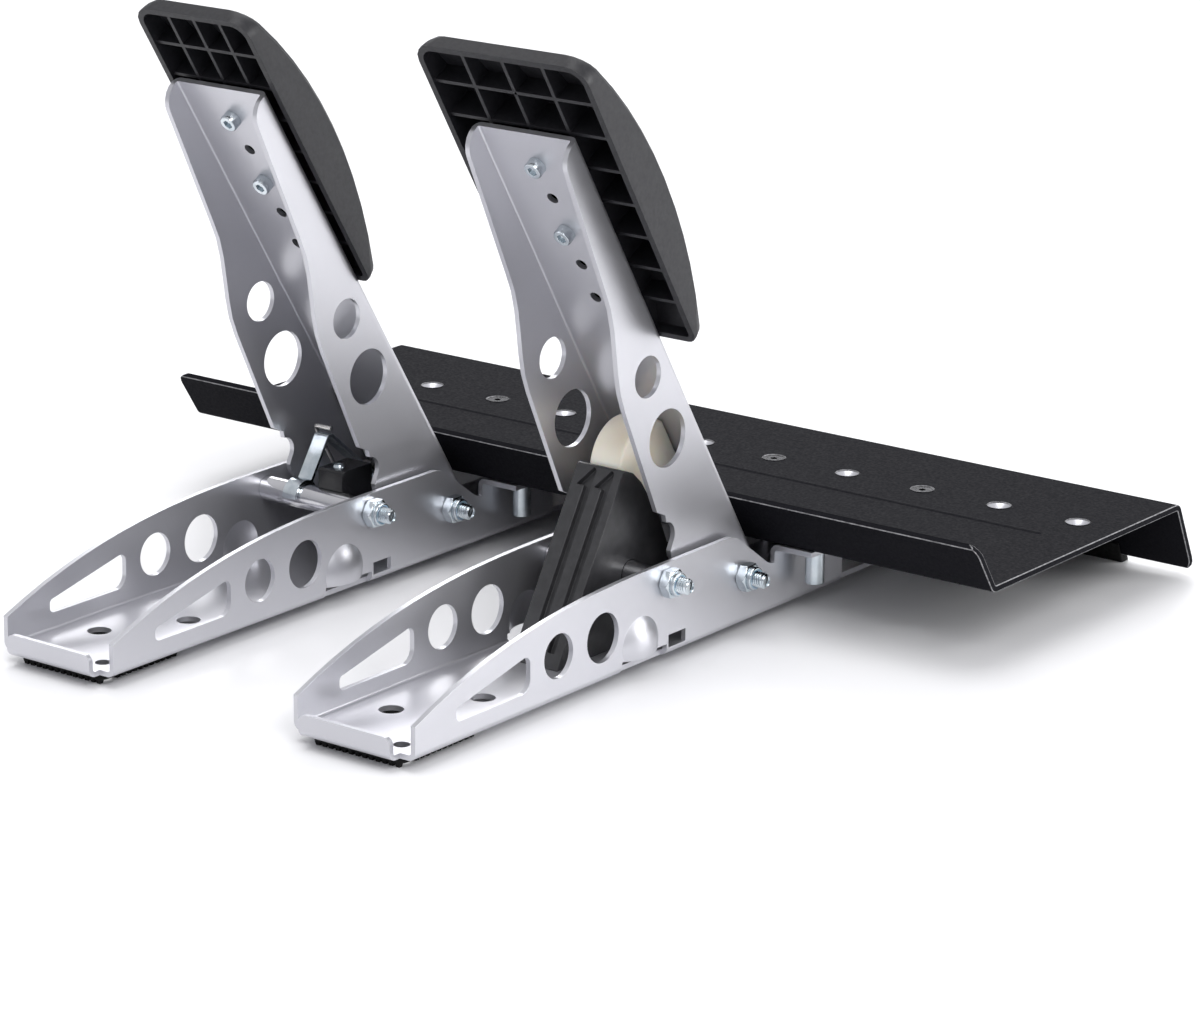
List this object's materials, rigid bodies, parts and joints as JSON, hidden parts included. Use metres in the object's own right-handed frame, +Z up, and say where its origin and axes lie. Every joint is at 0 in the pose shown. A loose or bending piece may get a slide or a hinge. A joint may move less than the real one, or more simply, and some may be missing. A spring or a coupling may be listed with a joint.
{
  "type": "sim racing pedal set",
  "caption": "Driving simulator pedal set: folded steel rails with hinged channel arms, curved foot pads, an elastomer brake stop and a folded black heel plate.",
  "frame": {"origin": "middle of the overall box at ground level", "axes": "+X across the pedals towards the throttle, +Y forward away from the driver, +Z up"},
  "size_m": [0.386, 0.3658, 0.2355],
  "materials": {
    "zinc_steel": "satin, zinc plated",
    "bright_zinc": "bright blue zinc",
    "spring_wire": "bright drawn wire",
    "powder_black": "fine textured powder coat",
    "pad_plastic": "fine grained",
    "black_zinc": "black zinc, satin",
    "gloss_black": "glossy",
    "bush_plastic": "smooth",
    "rubber_black": "matt",
    "elastomer_cream": "smooth, slightly translucent"
  },
  "bodies": {
    "frame": {"throttle_rail": "zinc_steel", "throttle_rail_pad": "rubber_black", "throttle_posts": "bright_zinc", "throttle_hinge_bolt": "bright_zinc", "throttle_hinge_sleeve": "bright_zinc", "throttle_front_bolt": "bright_zinc", "throttle_cross_tube": "bright_zinc", "throttle_nuts": "bright_zinc", "throttle_washers": "bright_zinc", "throttle_spring": "spring_wire", "throttle_spring_saddle": "bright_zinc", "throttle_sensor": "gloss_black", "throttle_sensor_screw": "bright_zinc", "brake_rail": "zinc_steel", "brake_rail_pad": "rubber_black", "brake_posts": "bright_zinc", "brake_hinge_bolt": "bright_zinc", "brake_hinge_sleeve": "bright_zinc", "brake_front_bolt": "bright_zinc", "brake_cross_tube": "bright_zinc", "brake_nuts": "bright_zinc", "brake_washers": "bright_zinc", "brake_holder": "gloss_black", "brake_elastomer": "elastomer_cream", "heel_plate": "powder_black", "heel_plate_screws": "black_zinc", "heel_plate_strip": "rubber_black"},
    "throttle_pedal": {"throttle_bushes": "bush_plastic", "throttle_arm": "zinc_steel", "throttle_pad": "pad_plastic", "throttle_pad_screws": "bright_zinc", "throttle_magnet": "bright_zinc"},
    "brake_pedal": {"brake_bushes": "bush_plastic", "brake_arm": "zinc_steel", "brake_pad": "pad_plastic", "brake_pad_screws": "bright_zinc"}
  },
  "joints": [
    {"name": "throttle_pivot", "type": "hinge", "parent": "frame", "child": "throttle_pedal", "pos_m": [0.07, -0.01363, 0.023], "axis": [-1, 0, 0], "range_deg": [0, 18], "stiffness_Nm_per_rad": 5, "springref_deg": -17.19, "deforming": ["throttle_spring"]},
    {"name": "brake_pivot", "type": "hinge", "parent": "frame", "child": "brake_pedal", "pos_m": [-0.07, -0.01363, 0.023], "axis": [-1, 0, 0], "range_deg": [0, 6], "stiffness_Nm_per_rad": 40, "springref_deg": -2.86, "deforming": ["brake_elastomer"]}
  ]
}
